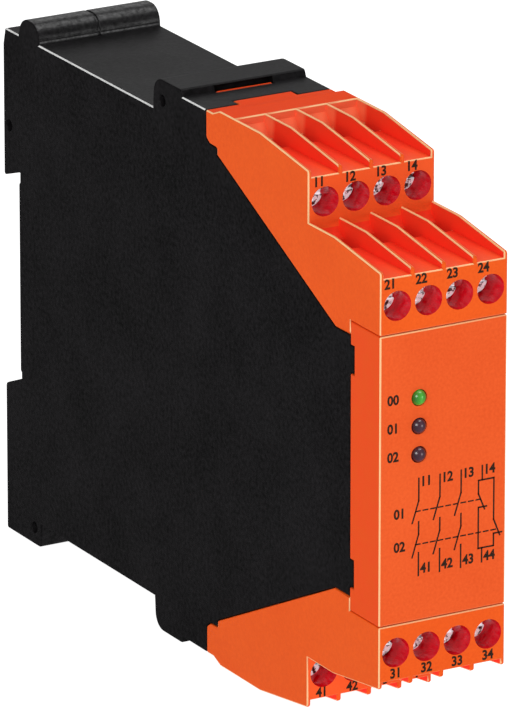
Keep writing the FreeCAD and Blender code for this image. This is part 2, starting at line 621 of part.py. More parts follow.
def build_bars(tier):
    """Four contact bars of one upper tier: upright strips that end in pins in the terminal board."""
    face = TIER_FRONT[tier]
    top = TIER_SCREW_Z[tier] + CAGE_HEIGHT / 2 - 0.4
    board_top = TERMINAL_BOARD_Z + BOARD
    bars = []
    for pole in range(POLES):
        x = pole_x(pole)
        bar = box(x - BAR_WIDTH / 2, x + BAR_WIDTH / 2, face + BAR_FRONT, face + BAR_REAR, board_top, top)
        pin = box(x - PIN_WIDTH / 2, x + PIN_WIDTH / 2, face + BAR_FRONT, face + BAR_REAR,
                  TERMINAL_BOARD_Z - PIN_REACH, board_top + ROOT)
        bars.append(bar.fuse(pin).removeSplitter())
    return Part.makeCompound(bars)


def build_terminal_board():
    """Upper terminal board, lying across the case, with a slot for every contact pin."""
    half = INNER_HALF - BOARD_GAP
    low, high = TERMINAL_BOARD_Z, TERMINAL_BOARD_Z + BOARD
    board = box(-half, half, TERMINAL_BOARD_FRONT, TERMINAL_BOARD_REAR, low, high)
    for tier in ("front", "rear"):
        face = TIER_FRONT[tier]
        for pole in range(POLES):
            x = pole_x(pole)
            half_slot = PIN_WIDTH / 2 + PIN_GAP
            board = board.cut(box(x - half_slot, x + half_slot, face + BAR_FRONT - PIN_GAP,
                                  face + BAR_REAR + PIN_GAP, low - 1, high + 1))
    return board


def build_display_board():
    """Board behind the front plate, with holes for the lamps' legs."""
    half = HALF_WIDTH - COVER_WALL - BOARD_GAP
    high = PLATE_HALF - COVER_WALL - BOARD_GAP
    front, rear = DISPLAY_BOARD_DEPTH, DISPLAY_BOARD_DEPTH + BOARD
    board = box(-half, half, front, rear, -high, high)
    hole = LEG_HOLE / 2
    for z in LAMP_Z:
        for side in (-1, 1):
            x = LAMP_X + side * LAMP_LEG_X
            board = board.cut(box(x - hole, x + hole, front - 1, rear + 1, z - hole, z + hole))
    return board


def build_main_board():
    """Main board, upright beside the left wall, held at its top and bottom edges."""
    high = FLAT_Z - CASE_WALL - BOARD_GAP
    return box(MAIN_BOARD_X, MAIN_BOARD_FACE, MAIN_BOARD_FRONT, MAIN_BOARD_REAR, -high, high)


def build_latch():
    """Rail latch: a flat slide with a sloped nose at the rail and a toe for a screwdriver."""
    half = LATCH_WIDTH / 2
    side = [
        (LATCH_FRONT, LATCH_TOP),
        (LATCH_FRONT + NOSE_FLAT, LATCH_TOP),
        (LATCH_REAR, LATCH_TOP - NOSE_SLOPE),
        (LATCH_REAR, TOE_BOTTOM),
        (LATCH_FRONT - LATCH_TOE, TOE_BOTTOM, 0.5),
        (LATCH_FRONT - LATCH_TOE, TOE_TOP, 0.5),
        (LATCH_FRONT, TOE_TOP),
    ]
    latch = across(outline(side), -half, half)
    slot_front = LATCH_FRONT - LATCH_TOE + SLOT_WALL
    latch = latch.cut(box(-SLOT_LENGTH / 2, SLOT_LENGTH / 2, slot_front, slot_front + SLOT_WIDTH,
                          TOE_BOTTOM - 1, TOE_TOP + 1))
    return latch.cut(box(-WINDOW_HALF, WINDOW_HALF, LATCH_FRONT - 1, LATCH_REAR + 1, PEG_BOTTOM - SEAT_GAP,
                         SPRING_TOP_Z))


def build_spring():
    """Coil spring in the latch's window, standing on the case's peg, with many-sided turns."""
    radius = (SPRING_D - SPRING_WIRE) / 2
    rise = SPRING_LENGTH - SPRING_WIRE - 2 * SEAT_GAP
    low = PEG_TOP + SPRING_WIRE / 2 + SEAT_GAP
    steps = SPRING_COILS * SPRING_SIDES
    rings = []
    for i in range(steps + 1):
        turn = 2 * math.pi * i / SPRING_SIDES
        ring = []
        for k in range(WIRE_SIDES):
            angle = 2 * math.pi * k / WIRE_SIDES
            reach = radius + SPRING_WIRE / 2 * math.cos(angle)
            height = low + rise * i / steps + SPRING_WIRE / 2 * math.sin(angle)
            ring.append(V(reach * math.cos(turn), y_at(SPRING_DEPTH) + reach * math.sin(turn), height))
        rings.append(ring)
    faces = [Part.Face(Part.makePolygon(end + end[:1])) for end in (rings[0], rings[-1])]
    for near, far in zip(rings, rings[1:]):
        for k in range(WIRE_SIDES):
            j = (k + 1) % WIRE_SIDES
            for corners in ((near[k], near[j], far[j]), (near[k], far[j], far[k])):
                faces.append(Part.Face(Part.makePolygon(list(corners) + [corners[0]])))
    spring = Part.Solid(Part.Shell(faces))
    return spring if spring.Volume > 0 else spring.reversed()


def build_relay(z):
    """Sealed relay with linked contacts, standing on the main board, with its pins."""
    length, tall, wide = RELAY
    top = MAIN_BOARD_FACE + tall
    body = box(MAIN_BOARD_FACE, top, RELAY_DEPTH, RELAY_DEPTH + length, z - wide / 2, z + wide / 2)
    return body.makeChamfer(RELAY_ROUND, [e for e in body.Edges if abs(e.CenterOfMass.x - top) < 1e-6])


def build_transformer():
    """Small mains transformer: an iron core with the winding's bobbin through it."""
    length, tall, wide = TRANSFORMER
    middle = RELAY_DEPTH + length / 2
    core = box(MAIN_BOARD_FACE + CORE_LIFT, MAIN_BOARD_FACE + tall, RELAY_DEPTH, RELAY_DEPTH + length,
               TRANSFORMER_Z - wide / 2, TRANSFORMER_Z + wide / 2)
    half = wide / 2 - BOBBIN_INSET
    bobbin = box(MAIN_BOARD_FACE, MAIN_BOARD_FACE + tall + BOBBIN_PROUD, middle - BOBBIN_LENGTH / 2,
                 middle + BOBBIN_LENGTH / 2, TRANSFORMER_Z - half, TRANSFORMER_Z + half)
    return core.fuse(bobbin).removeSplitter()


def build_capacitor():
    """Smoothing capacitor lying on the main board behind the transformer, with its axis upright."""
    radius = CAPACITOR_D / 2
    foot = V(MAIN_BOARD_FACE + radius + SEAT_GAP, y_at(CAPACITOR_DEPTH), TRANSFORMER_Z - CAPACITOR_LENGTH / 2)
    can = Part.makeCylinder(radius, CAPACITOR_LENGTH, foot)
    return can.makeChamfer(CAPACITOR_ROUND, [e for e in can.Edges if isinstance(e.Curve, Part.Circle)])


save(build_case(), "case")
cover = build_cover()
save(cover, "terminal_cover_upper")
save(mirrored(cover), "terminal_cover_lower")
save(build_front_plate(), "front_plate")
save(build_latch(), "rail_latch")
save(build_spring(), "latch_spring")

save(build_main_board(), "main_board")
terminal_board = build_terminal_board()
save(terminal_board, "terminal_board_upper")
save(mirrored(terminal_board), "terminal_board_lower")
save(build_display_board(), "display_board")
for number, z in enumerate(RELAY_Z, 1):
    save(build_relay(z), "relay_%d" % number)
save(build_transformer(), "transformer")
save(build_capacitor(), "capacitor")
for name, z in zip(("lamp_supply", "lamp_channel_1", "lamp_channel_2"), LAMP_Z):
    save(build_lamp(z), name)

for tier in ("rear", "front"):
    bars = build_bars(tier)
    save(bars, "contact_bars_upper_" + tier)
    save(mirrored(bars), "contact_bars_lower_" + tier)
    for pole in range(POLES):
        place = pole_x(pole), TIER_FRONT[tier], TIER_SCREW_Z[tier]
        screw, cage = build_screw(*place), build_cage(*place)
        for side in ("upper", "lower"):
            label = "%s_%s_%d" % (side, tier, pole + 1)
            save(screw if side == "upper" else mirrored(screw), "clamp_screw_" + label)
            save(cage if side == "upper" else mirrored(cage), "clamp_cage_" + label)
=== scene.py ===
import math

import bmesh
import bpy
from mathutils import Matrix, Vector


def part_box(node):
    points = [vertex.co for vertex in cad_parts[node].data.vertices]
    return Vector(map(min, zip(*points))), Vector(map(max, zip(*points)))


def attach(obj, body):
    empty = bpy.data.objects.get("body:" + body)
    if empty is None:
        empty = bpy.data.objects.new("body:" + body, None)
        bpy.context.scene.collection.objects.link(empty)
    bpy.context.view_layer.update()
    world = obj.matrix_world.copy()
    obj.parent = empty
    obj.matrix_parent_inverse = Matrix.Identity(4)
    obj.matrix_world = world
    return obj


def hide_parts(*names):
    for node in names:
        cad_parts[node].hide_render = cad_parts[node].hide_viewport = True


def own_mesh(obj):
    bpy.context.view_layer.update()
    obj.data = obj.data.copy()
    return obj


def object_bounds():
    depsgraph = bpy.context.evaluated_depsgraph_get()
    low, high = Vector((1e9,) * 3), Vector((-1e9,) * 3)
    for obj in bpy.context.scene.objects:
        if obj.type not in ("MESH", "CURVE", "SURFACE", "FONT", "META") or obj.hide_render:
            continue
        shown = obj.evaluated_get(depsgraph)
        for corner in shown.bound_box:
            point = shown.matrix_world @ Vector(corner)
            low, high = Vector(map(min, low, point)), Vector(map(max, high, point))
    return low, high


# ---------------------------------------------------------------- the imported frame
# Lengths are in metres, in the part's own frame: X runs across the width, +Y points back to the
# rail and +Z points up. The front faces of the plate and of the front terminals look along -Y.
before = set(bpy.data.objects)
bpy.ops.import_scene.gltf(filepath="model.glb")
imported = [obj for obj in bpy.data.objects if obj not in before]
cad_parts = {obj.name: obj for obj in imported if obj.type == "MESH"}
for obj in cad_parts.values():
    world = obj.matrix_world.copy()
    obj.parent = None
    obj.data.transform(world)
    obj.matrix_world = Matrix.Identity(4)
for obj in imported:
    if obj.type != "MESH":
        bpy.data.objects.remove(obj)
cad_low, cad_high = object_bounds()
MM = 0.001


# ---------------------------------------------------------------- black case
# One moulding in black glass-filled polyamide with a fine spark-eroded skin. The mould's halves
# meet along the long edges of its top, which carry a painted highlight in pale grey to white.
class Socket:
    """An output of a finish's node; arithmetic on it adds Math nodes."""

    def __init__(self, finish, output):
        self.finish = finish
        self.output = output

    def math(self, operation, *values):
        return self.finish.node("ShaderNodeMath", {"operation": operation}, dict(enumerate(values)))

    def __add__(self, other):
        return self.math("ADD", self, other)

    def __radd__(self, other):
        return self.math("ADD", other, self)

    def __sub__(self, other):
        return self.math("SUBTRACT", self, other)

    def __rsub__(self, other):
        return self.math("SUBTRACT", other, self)

    def __mul__(self, other):
        return self.math("MULTIPLY", self, other)

    def __rmul__(self, other):
        return self.math("MULTIPLY", other, self)

    def __abs__(self):
        return self.math("ABSOLUTE", self)

    def above(self, limit):
        return self.math("GREATER_THAN", self, limit)

    def clamped(self):
        return self.finish.node("ShaderNodeClamp", None, {0: self})


class Finish:
    """One material: a Principled shader, with steady values set on the shader's own sockets."""

    def __init__(self, name, **steady):
        self.material = bpy.data.materials.new(name)
        self.material.use_nodes = True
        self.shader = self.material.node_tree.nodes["Principled BSDF"]
        for key, value in steady.items():
            self.shader.inputs[key.replace("_", " ")].default_value = value

    def node(self, kind, settings=None, sockets=None, output=0):
        """Add a node: its settings first, then a value or a link for each of its sockets."""
        made = self.material.node_tree.nodes.new(kind)
        for name, value in (settings or {}).items():
            if name == "stops":
                ramp = made.color_ramp
                while len(ramp.elements) < len(value):
                    ramp.elements.new(1.0)
                for element, (place, colour) in zip(ramp.elements, value):
                    element.position = place
                    element.color = (*colour, 1.0)
            else:
                setattr(made, name, value)
        for name, value in (sockets or {}).items():
            if isinstance(value, Socket):
                self.material.node_tree.links.new(value.output, made.inputs[name])
            else:
                made.inputs[name].default_value = value
        return Socket(self, made.outputs[output])

    def feed(self, name, value):
        self.material.node_tree.links.new(value.output, self.shader.inputs[name])

    def place(self):
        """Object coordinates; every piece keeps its place in its mesh, so they are the part's."""
        return self.node("ShaderNodeTexCoord", output=3)

    def axis(self, index):
        return self.node("ShaderNodeSeparateXYZ", None, {0: self.place()}, output=index)

    def grain(self, size, detail=2.0, roughness=0.5):
        """Noise with grains of about this size."""
        return self.node("ShaderNodeTexNoise", None,
                         {"Vector": self.place(), "Scale": 1.0 / size,
                          "Detail": detail, "Roughness": roughness})

    def blend(self, factor, first, second):
        """Colour between two colours, each a value or a link."""
        sides = [value if isinstance(value, Socket) else (*value, 1.0)
                 for value in (first, second)]
        return self.node("ShaderNodeMix", {"data_type": "RGBA"},
                         {0: factor, 6: sides[0], 7: sides[1]}, output=2)

    def bump(self, height, strength, distance):
        self.feed("Normal", self.node("ShaderNodeBump", None,
                                      {"Height": height, "Strength": strength,
                                       "Distance": distance}))


PIT_STRENGTH = 0.3
PATCH_RATIO = 40                            # patches of even gloss, in widths of a pit


def moulded_skin(finish, grain_size, depth, low, high):
    """Fine spark-eroded skin: tiny pits, with a roughness that wanders between two values."""
    pits = finish.grain(grain_size, roughness=0.6)
    patches = finish.grain(PATCH_RATIO * grain_size)
    finish.feed("Roughness", low + (high - low) * (0.5 * pits + 0.5 * patches))
    finish.bump(pits, PIT_STRENGTH, depth)


def mottled(finish, patches, specks, share, dark, pale):
    """Colour that wanders with broad patches and fine specks; share is the patches' part."""
    mixed = share * patches + (1.0 - share) * specks
    return finish.blend((3.0 * mixed - 1.0).clamped(), dark, pale)


def activate(piece):
    """Select one piece and nothing else."""
    if bpy.context.object and bpy.context.object.mode != "OBJECT":
        bpy.ops.object.mode_set(mode="OBJECT")
    bpy.ops.object.select_all(action="DESELECT")
    piece.select_set(True)
    bpy.context.view_layer.objects.active = piece


def dress(piece, *finishes):
    piece.data.materials.clear()
    for finish in finishes:
        piece.data.materials.append(finish.material)


SAME_POINT = 0.001 * MM
TINY_EDGE = 0.03 * MM                       # edges shorter than this belong to tiny rounds,
TINY_CORNER = 0.13 * MM                     # and rounds smaller than this become plain corners
FLATNESS = math.radians(0.5)                # faces that bend less than this become one
FLATS, EDGES = 0, 1                         # the first two slots of every moulding


def copy_of(node, name):
    """Copy a CAD piece and merge its triangles into whole faces; the copy stands for the node."""
    piece = bpy.data.objects.new(name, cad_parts[node].data.copy())
    bpy.context.scene.collection.objects.link(piece)
    activate(piece)
    bpy.ops.object.mode_set(mode="EDIT")
    bpy.ops.mesh.select_all(action="SELECT")
    bpy.ops.mesh.remove_doubles(threshold=SAME_POINT)
    bpy.ops.mesh.select_all(action="DESELECT")
    mesh = bmesh.from_edit_mesh(piece.data)
    for edge in mesh.edges:
        if edge.calc_length() < TINY_EDGE:
            edge.select_set(True)
    bmesh.update_edit_mesh(piece.data)
    bpy.ops.mesh.remove_doubles(threshold=TINY_CORNER)
    bpy.ops.mesh.select_all(action="SELECT")
    bpy.ops.mesh.dissolve_limited(angle_limit=FLATNESS)
    bpy.ops.object.mode_set(mode="OBJECT")
    for face in piece.data.polygons:
        face.material_index = FLATS
    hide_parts(node)
    return piece


SHARP = math.radians(28)                    # edges that bend more than this count as sharp


def round_edges(piece, radius, slot=-1, chosen=None):
    """Round the sharp outer edges, or those that a test picks; a slot gives the rounds' finish."""
    activate(piece)
    bpy.ops.object.mode_set(mode="EDIT")
    bpy.ops.mesh.select_mode(type="EDGE")
    bpy.ops.mesh.select_all(action="DESELECT")
    mesh = bmesh.from_edit_mesh(piece.data)
    for edge in mesh.edges:
        sharp = edge.is_manifold and edge.calc_face_angle_signed() > SHARP
        middle = (edge.verts[0].co + edge.verts[1].co) / 2
        edge.select_set(sharp and (chosen is None or chosen(middle)))
    bmesh.update_edit_mesh(piece.data)
    bpy.ops.mesh.bevel(offset=radius, segments=2, profile=0.5, affect="EDGES",
                       clamp_overlap=False, loop_slide=False, material=slot)
    bpy.ops.object.mode_set(mode="OBJECT")


FLAT_AREA = 0.3 * MM * MM                   # faces to the front or back above this stay flat


def smooth(piece):
    """Smooth the rounded edges and keep the flat faces flat."""
    activate(piece)
    bpy.ops.object.shade_smooth_by_angle(angle=math.radians(40))
    for face in piece.data.polygons:
        if abs(face.normal.y) > 0.999 and face.area > FLAT_AREA:
            face.use_smooth = False
    weighted = piece.modifiers.new("flat faces", "WEIGHTED_NORMAL")
    weighted.keep_sharp = True
    bpy.ops.object.modifier_apply(modifier=weighted.name)


COAL = (0.0015, 0.0014, 0.0015)
COAL_WORN = (0.012, 0.011, 0.0122)
# pale grey and white of the painted highlight on the case's top edges
HIGHLIGHT_GREY = (0.62, 0.62, 0.62)
HIGHLIGHT_WHITE = (0.9, 0.9, 0.89)
CASE_EDGE = 0.2 * MM
BEAD_FROM = -8.0 * MM                       # the glossier bead stands behind this depth,
BEAD_HEIGHT = 41.2 * MM                     # above this height
BEAD_INSET = 0.25 * MM                      # and ends this far inside the case's sides
HIGHLIGHT_FROM, HIGHLIGHT_TO = 40.5 * MM, 45.7 * MM   # the edges with the painted highlight run at these heights
HIGHLIGHT_LENGTH = 2.5 * MM                    # and are longer than this

black = Finish("black_moulding", Specular_IOR_Level=0.08, Coat_Roughness=0.32)
black.feed("Base Color", mottled(black, black.grain(14 * MM, 3.0, 0.65), black.grain(0.7 * MM, 3.0),
                                 0.35, COAL, COAL_WORN))
bead = black.axis(1).above(BEAD_FROM) * abs(black.axis(2)).above(BEAD_HEIGHT)
bead = bead * (cad_high.x - BEAD_INSET - abs(black.axis(0))).above(0.0)
black.feed("Coat Weight", bead * (1.6 * black.grain(0.6 * MM, 3.0, 0.6) - 0.35).clamped())
moulded_skin(black, 0.45 * MM, 0.05 * MM, 0.38, 0.58)
# The long edges along the top carry a painted highlight: a pale grey to white base colour.
painted_edge_highlight = Finish("black_moulding_painted_highlight", Specular_IOR_Level=0.5)
painted_edge_highlight.feed("Base Color", painted_edge_highlight.blend(painted_edge_highlight.grain(1.5 * MM, 3.0), HIGHLIGHT_GREY, HIGHLIGHT_WHITE))
painted_edge_highlight.feed("Roughness", 0.3 + 0.15 * painted_edge_highlight.grain(0.4 * MM))


def is_polished(face):
    """Whether a rounded face is one of the long straight edges along the top, which carry the
    painted highlight.
    """
    slanted = abs(face.normal.y) < 0.2 and min(abs(face.normal.x), abs(face.normal.z)) > 0.2
    depths = [case.data.vertices[i].co.y for i in face.vertices]
    straight = max(depths) - min(depths) > HIGHLIGHT_LENGTH
    return slanted and straight and HIGHLIGHT_FROM < face.center.z < HIGHLIGHT_TO


case = copy_of("case", "case_moulding")
dress(case, black, painted_edge_highlight)
round_edges(case, CASE_EDGE, EDGES)
# Only the long top edges keep the painted highlight; the other rounds take the black skin.
for face in case.data.polygons:
    if face.material_index == EDGES and not is_polished(face):
        face.material_index = FLATS
smooth(case)
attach(case, "housing")

# ---------------------------------------------------------------- terminal covers
# Two mirror images in orange-red polyamide. Painted shade reddens their hollows and bores, painted
# light lifts the channels' mouths and far ends, and a painted highlight makes their thin outer
# edges a pale cream. Each snaps over the case with a tongue and a hook at its rear.
TIERS = ("front", "rear")
POLES = (1, 2, 3, 4)
HALF_WIDTH = cad_high.x
SIDE_SKIN = 0.3 * MM
SIDE_WALL = 0.9 * MM
CHANNEL_FLOOR = {"front": 32.7 * MM, "rear": 42.8 * MM}
TIER_SPLIT = 39.0 * MM                      # height that parts the front tier from the rear one
RIB_PITCH = 5.5 * MM
RIB_HALF = 0.36 * MM
CHANNEL_FROM = 0.3 * MM                     # depths behind a tier's face: where its channels start,
CHANNEL_END = 21.5 * MM                     # where their rounded edges end
CHANNEL_REACH = 24.0 * MM                   # and where their walls end
FLOOR_CLEARANCE = 0.1 * MM
FLOOR_BAND = 2.5 * MM                       # slopes this near the floor belong to the channel
ENTRY_DROP = 6.0 * MM                       # the wire entries reach this far below the floor
ENTRY_END = 70.0 * MM                       # and lie in front of this depth
HEAD_RECESS = 4.4 * MM                      # from a terminal's face to its screw's head
BORE_RADIUS = 2.4 * MM
BORE_LEAD = 1.0 * MM                        # a bore is looked for from this far before its face
BORE_BEHIND = 4.0 * MM                      # to this far behind the screw's head
BORE_REACH = 0.05 * MM
BORE_CLEAR = 0.1 * MM                       # edges this near a bore stay sharp
CHANNEL_LIP = 1.0 * MM                      # the rounded edges at a channel's mouth are outer ones
SAME_DEPTH = 0.1 * MM
COVER_EDGE = 0.2 * MM
TONGUE_TOP = 45.0 * MM
HIDDEN_FROM = -66.0 * MM                    # behind this the cover's tongue lies inside the case
PLAIN_FROM = -63.0 * MM                     # behind this its edges get no painted highlight
HOOK_FROM = -59.5 * MM                      # behind this is the hook, seen in the case's slot and painted dark as shade
TOP_FRONT = -76.0 * MM                      # the flat tops' middles lie behind this
TOP_RISE = 2.0 * MM
FADE = 8.0 * MM                             # how far painted light keeps the channels orange behind their mouths
WALL_FADE = 3.0 * MM
LIT_END_FROM, LIT_END_FADE = 19.6 * MM, 1.2 * MM  # painted light on the far ends of the rear channels
STEP_LOW, STEP_FADE = 33.2 * MM, 3.5 * MM   # painted shade reddens the step's face down to this height
HIGHLIGHT_SIDE = (-0.75, -0.2, 0.63)             # the painted highlight is palest on edges that face this way

ORANGE = (0.82, 0.092, 0.008)
ORANGE_WARM = (0.89, 0.116, 0.011)
# redder orange of the painted shade on the plate's sides and flat tops
ORANGE_SHADED = (0.86, 0.068, 0.010)
# deeper orange of the flat tops' painted shade
ORANGE_TOP_SHADE = (0.87, 0.056, 0.004)
# dull brown of the painted shade on the hook in the case's slot
ORANGE_SLOT_SHADE = (0.34, 0.045, 0.018)
# lighter orange of the step's painted light
STEP_ORANGE_LIT = (0.90, 0.104, 0.018)
STEP_WARM_LIT = (0.95, 0.122, 0.024)
ORANGE_RED = (0.97, 0.125, 0.028)
# deep red of the channels' painted shade
CHANNEL_SHADE_RED = (0.93, 0.044, 0.019)
# crimson of the painted shade in the bores
BORE_SHADE_CRIMSON = (0.62, 0.001, 0.012)
BORE_SHADE_PALER = (0.88, 0.003, 0.02)
# pale orange of the painted light at the rear channels' far ends
PAINTED_LIGHT_END = (0.98, 0.30, 0.13)
# cream of the painted highlight on rounded edges
HIGHLIGHT_CREAM = (1.0, 0.62, 0.30)


def bore_axes(side):
    """Screw axes of one cover, as tier: (face depth, height, widths), read from the screws."""
    axes = {}
    for tier in TIERS:
        boxes = [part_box(f"clamp_screw_{side}_{tier}_{pole}") for pole in POLES]
        low, high = boxes[0]
        widths = [(box_low.x + box_high.x) / 2 for box_low, box_high in boxes]
        axes[tier] = (low.y - HEAD_RECESS, (low.z + high.z) / 2, widths)
    return axes


def orange_finish(name, gloss=0.07, **steady):
    finish = Finish(name, Specular_IOR_Level=gloss, **steady)
    moulded_skin(finish, 0.4 * MM, 0.05 * MM, 0.4, 0.55)
    return finish


def orange_mottle(finish, patch_size, dark, pale):
    return mottled(finish, finish.grain(patch_size), finish.grain(0.5 * MM, 3.0), 0.4, dark, pale)


face_y = {tier: bore_axes("upper")[tier][0] for tier in TIERS}

orange = orange_finish("orange_moulding")
# Behind the hook's front the orange is painted a dull brown as shade, where it lies in the case's
# slot.
hook = orange.axis(1).above(HOOK_FROM)
skin_colour = orange_mottle(orange, 18 * MM, ORANGE, ORANGE_WARM)
orange.feed("Base Color", orange.blend(hook, skin_colour, ORANGE_SLOT_SHADE))

# Flat tops: painted shade, a deeper orange than the sides that offsets the sheen they take from the
# lights.
plateau = orange_finish("orange_moulding_top_shade", 0.02)
plateau.feed("Base Color", plateau.blend(plateau.grain(0.6 * MM, 3.0), ORANGE_TOP_SHADE, ORANGE_SHADED))

# Channels: painted shade in deep red, darker on the walls low down. Painted light keeps them orange
# near their mouths and pale at the rear channels' far ends, and a faint emission in the same colour
# adds painted light.
channel_shading = orange_finish("orange_moulding_channel_shading", Emission_Strength=0.04)
height = abs(channel_shading.axis(2))
rear = height.above(TIER_SPLIT)
depth = channel_shading.axis(1) - face_y["front"] - (face_y["rear"] - face_y["front"]) * rear
floor_z = CHANNEL_FLOOR["front"] + (CHANNEL_FLOOR["rear"] - CHANNEL_FLOOR["front"]) * rear
mouth = (1.0 - depth * (1 / FADE)).clamped()
rise = ((height - floor_z) * (1 / WALL_FADE)).clamped()
across = channel_shading.node("ShaderNodeSeparateXYZ", None, {0: channel_shading.node("ShaderNodeTexCoord", output=1)})
wall = abs(across).above(0.6)
lit = (0.1 + 0.55 * mouth) * (1.0 - wall) + 0.25 * wall * rise
lit_far_end = ((depth - LIT_END_FROM) * (1 / LIT_END_FADE)).clamped() * rear
painted_shade = channel_shading.blend(0.55 * lit_far_end, channel_shading.blend(lit.clamped(), CHANNEL_SHADE_RED, ORANGE_RED), PAINTED_LIGHT_END)
channel_shading.feed("Base Color", painted_shade)
channel_shading.feed("Emission Color", painted_shade)

# The rear tier's front face: painted light, a lighter orange than the rest, with painted shade
# reddening it towards its foot among the front tier's channels.
step = orange_finish("orange_moulding_step_painted")
foot_shade = ((abs(step.axis(2)) - STEP_LOW) * (1 / STEP_FADE)).clamped()
step_lit_colour = step.blend(step.grain(0.5 * MM, 3.0), STEP_ORANGE_LIT, STEP_WARM_LIT)
step.feed("Base Color", step.blend(foot_shade, ORANGE_RED, step_lit_colour))

# Screwdriver bores: painted shade, the orange moulding coloured a deep crimson inside them.
bore = Finish("orange_moulding_bore_shade", Roughness=0.18, Specular_IOR_Level=0.17)
bore.feed("Base Color", bore.blend(bore.grain(1.2 * MM), BORE_SHADE_CRIMSON, BORE_SHADE_PALER))

# Rounded edges of the covers and plate: a painted highlight, cream where an edge faces up, left and
# a little forward, and nearly orange where it faces away.
edge = Finish("orange_moulding_painted_highlight", Specular_IOR_Level=0.3, Roughness=0.4)
facing_light = edge.node("ShaderNodeVectorMath", {"operation": "DOT_PRODUCT"},
                   {0: edge.node("ShaderNodeTexCoord", output=1), 1: HIGHLIGHT_SIDE}, output=1)
pale = (2.0 * facing_light - 0.3).clamped()
edge.feed("Base Color", edge.blend(0.1 + 0.85 * pale, ORANGE, HIGHLIGHT_CREAM))


def inboard(point, margin):
    return abs(point.x) < HALF_WIDTH - margin


def near_bore(point, axes, reach):
    """Whether a point lies on a screwdriver bore's wall, or within this reach of it."""
    for y, z, widths in axes.values():
        if y - BORE_LEAD < point.y < y + HEAD_RECESS + BORE_BEHIND:
            if any(math.hypot(point.x - x, point.z - z) < BORE_RADIUS + reach for x in widths):
                return True
    return False


def rounded_here(point, axes):
    """Whether a cover's edges are rounded here: not on the hidden tongue and not at a bore."""
    hidden = point.y > HIDDEN_FROM and abs(point.z) < TONGUE_TOP and inboard(point, SIDE_SKIN)
    return not hidden and not near_bore(point, axes, BORE_CLEAR)


CHANNELS, BORES, STEP, TOP = 2, 3, 4, 5     # a cover's further slots


def cover_slot(face, sign, axes):
    """The finish of one face of a cover, by its place and the way it faces."""
    middle, normal = face.center, face.normal
    outward = normal.z * sign
    tier = "rear" if abs(middle.z) > TIER_SPLIT else "front"
    behind = middle.y - face_y[tier]
    above = abs(middle.z) - CHANNEL_FLOOR[tier]
    off_rib = abs(middle.x) % RIB_PITCH
    beside = min(off_rib, RIB_PITCH - off_rib) > RIB_HALF
    if near_bore(middle, axes, BORE_REACH) and abs(normal.y) < 0.9:
        return BORES
    if face.material_index == EDGES:
        between_walls = inboard(middle, SIDE_WALL)
        within = CHANNEL_LIP < behind < CHANNEL_END and between_walls
        if beside and within and above > -FLOOR_CLEARANCE:
            return CHANNELS
        rib_end = not beside and above > FLOOR_CLEARANCE and normal.y < -0.3 and between_walls
        inner = middle.y > PLAIN_FROM or (outward < -0.2 and normal.y > -0.3)
        return FLATS if rib_end or inner else EDGES
    if outward > 0.9 and middle.y > TOP_FRONT and above > TOP_RISE:
        return TOP
    if normal.y < -0.9 and abs(middle.y - face_y["rear"]) < SAME_DEPTH and inboard(middle, 0.0):
        return STEP
    if not (CHANNEL_FROM < behind < CHANNEL_REACH and inboard(middle, SIDE_SKIN)):
        return FLATS
    if above <= -FLOOR_CLEARANCE:
        return CHANNELS if above > -ENTRY_DROP and abs(middle.y) > ENTRY_END else FLATS
    on_floor = outward > 0.1 and above < FLOOR_BAND
    hollow = abs(normal.x) > 0.8 or on_floor or normal.y < -0.1
    return CHANNELS if hollow and (beside or outward <= 0.5) else FLATS


for side, sign in (("upper", 1), ("lower", -1)):
    cover = copy_of("terminal_cover_" + side, "cover_moulding_" + side)
    dress(cover, orange, edge, channel_shading, bore, step, plateau)
    axes = bore_axes(side)
    round_edges(cover, COVER_EDGE, EDGES, lambda middle: rounded_here(middle, axes))
    for face in cover.data.polygons:
        face.material_index = cover_slot(face, sign, axes)
    smooth(cover)
    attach(cover, "housing")

# ---------------------------------------------------------------- front plate
# A shallow tray in the same orange polyamide, moulded with three bores for the lamps and snapped
# between the two terminal covers.
PLATE_EDGE = 0.22 * MM
LAMP_BORE = 1.6 * MM                        # edges nearer than this to a lamp's axis stay sharp
PLATE_ORANGE = (0.79, 0.090, 0.014)
PLATE_WARM = (0.87, 0.118, 0.022)
SHADED_SIDES, HIGHLIGHT_EDGES = 2, 3                          # the plate's further slots
plate_skin = orange_finish("orange_moulding_front")
plate_skin.feed("Base Color", orange_mottle(plate_skin, 14 * MM, PLATE_ORANGE, PLATE_WARM))
# The plate's sides: painted shade, a redder orange than its front.
side_shade = orange_finish("orange_moulding_side_shade")
side_shade.feed("Base Color", side_shade.blend(side_shade.grain(2 * MM, 4.0), ORANGE_SHADED, ORANGE))
# Right-facing rounded edges of the plate: a painted highlight, mottled from orange to cream.
highlight_edge = orange_finish("orange_moulding_highlight_edge")
highlight_edge.feed("Base Color", highlight_edge.blend(0.3 + 0.6 * highlight_edge.grain(1 * MM), ORANGE, HIGHLIGHT_CREAM))

lamp_boxes = [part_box(name) for name in ("lamp_supply", "lamp_channel_1", "lamp_channel_2")]
lamp_x = (lamp_boxes[0][0].x + lamp_boxes[0][1].x) / 2
lamp_z = [(low.z + high.z) / 2 for low, high in lamp_boxes]


def clear_of_lamps(point):
    return all(math.hypot(point.x - lamp_x, point.z - z) > LAMP_BORE for z in lamp_z)


plate = copy_of("front_plate", "front_plate_moulding")
dress(plate, plate_skin, edge, side_shade, highlight_edge)
round_edges(plate, PLATE_EDGE, EDGES, clear_of_lamps)
